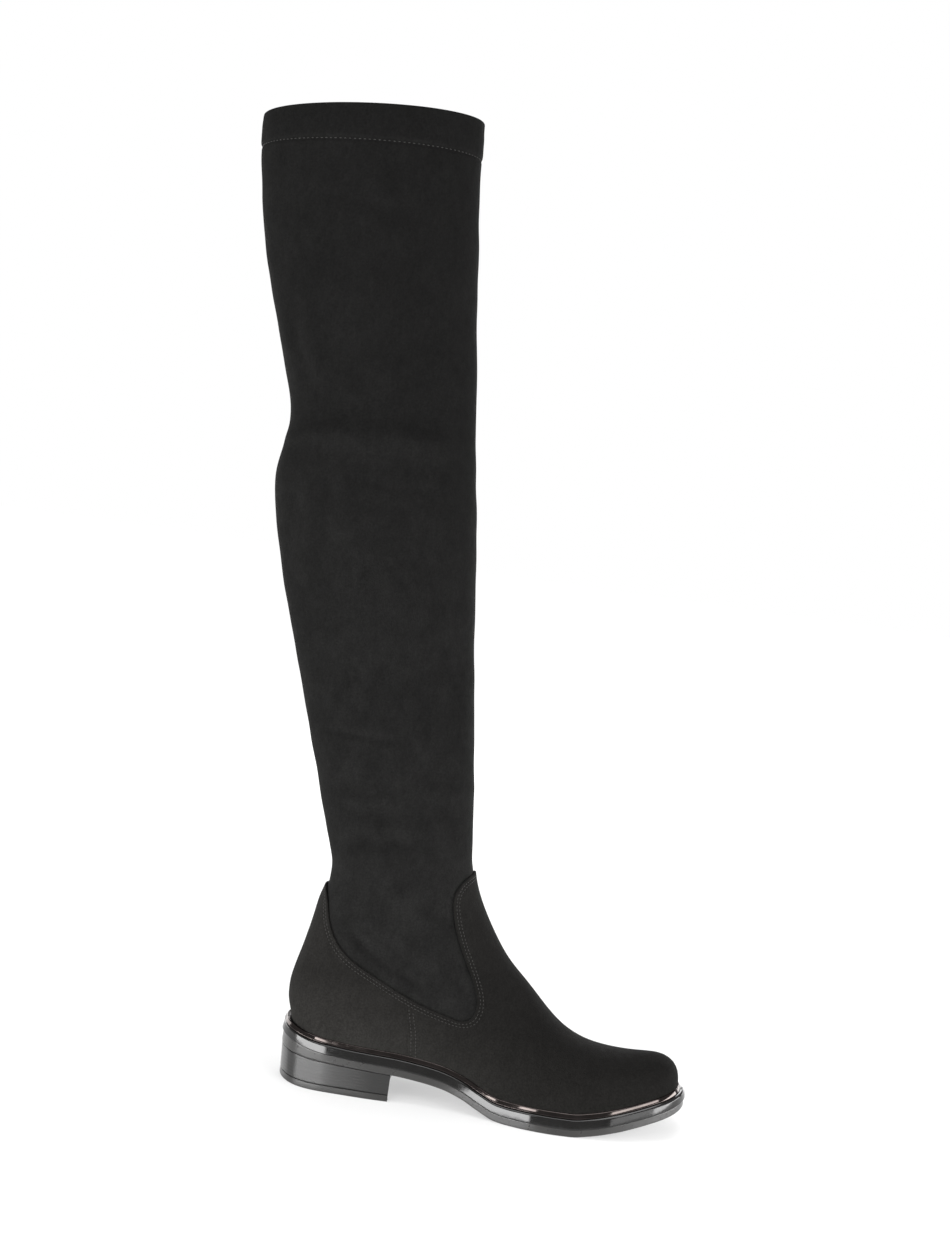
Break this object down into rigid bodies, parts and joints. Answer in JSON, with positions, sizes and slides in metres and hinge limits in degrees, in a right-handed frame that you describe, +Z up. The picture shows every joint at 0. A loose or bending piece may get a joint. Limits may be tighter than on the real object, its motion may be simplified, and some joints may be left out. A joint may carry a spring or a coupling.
{
  "type": "over-the-knee boot",
  "caption": "Left over-the-knee stretch boot with a round toe, proud vamp and heel layer with U-shaped side openings, metal bead, gloss midsole band and low stacked heel.",
  "frame": {"origin": "on the ground at the middle of the heel's rest face, under the boot's middle line", "axes": "+X from heel to toe, +Y to the outer side of the left foot, +Z up along the shaft"},
  "size_m": [0.3506, 0.0967, 0.6164],
  "materials": {
    "lift_rubber": "satin",
    "stacked_heel": "satin, fine stack lines",
    "outsole_rubber": "satin",
    "gloss_band": "high gloss",
    "bead_metal": "polished gunmetal with a warm tint",
    "insole_fabric": "matt",
    "stretch_suede": "napped, matt",
    "overlay_suede": "napped, matt"
  },
  "bodies": {
    "root": {"top_lift": "lift_rubber", "heel_block": "stacked_heel", "outsole": "outsole_rubber", "midsole": "gloss_band", "metal_bead": "bead_metal", "insole": "insole_fabric", "upper": "stretch_suede", "foot_overlay": "overlay_suede"}
  },
  "joints": []
}
